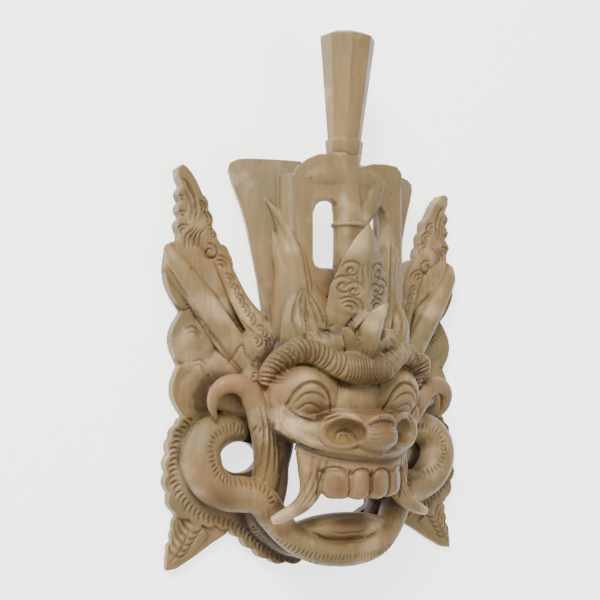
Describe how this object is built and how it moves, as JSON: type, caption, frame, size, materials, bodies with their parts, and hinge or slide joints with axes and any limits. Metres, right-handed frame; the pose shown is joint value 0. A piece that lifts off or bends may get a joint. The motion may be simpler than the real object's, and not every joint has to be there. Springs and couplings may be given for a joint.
{
  "type": "wooden mask",
  "caption": "Carved wooden demon mask with a fanged mouth, pierced ears, leafy wings and a high crown that ends in a hilt-shaped finial; flat, hollowed back.",
  "frame": {"origin": "middle of the mask's bounding box in X and Y, at the plane of its flat back", "axes": "+Y from the chin to the top of the finial, +X to the right as one looks at the face, +Z the way the face looks"},
  "size_m": [0.3174, 0.4898, 0.123],
  "materials": {
    "wood": "matte"
  },
  "bodies": {
    "root": {"carved_mask": "wood"}
  },
  "joints": []
}
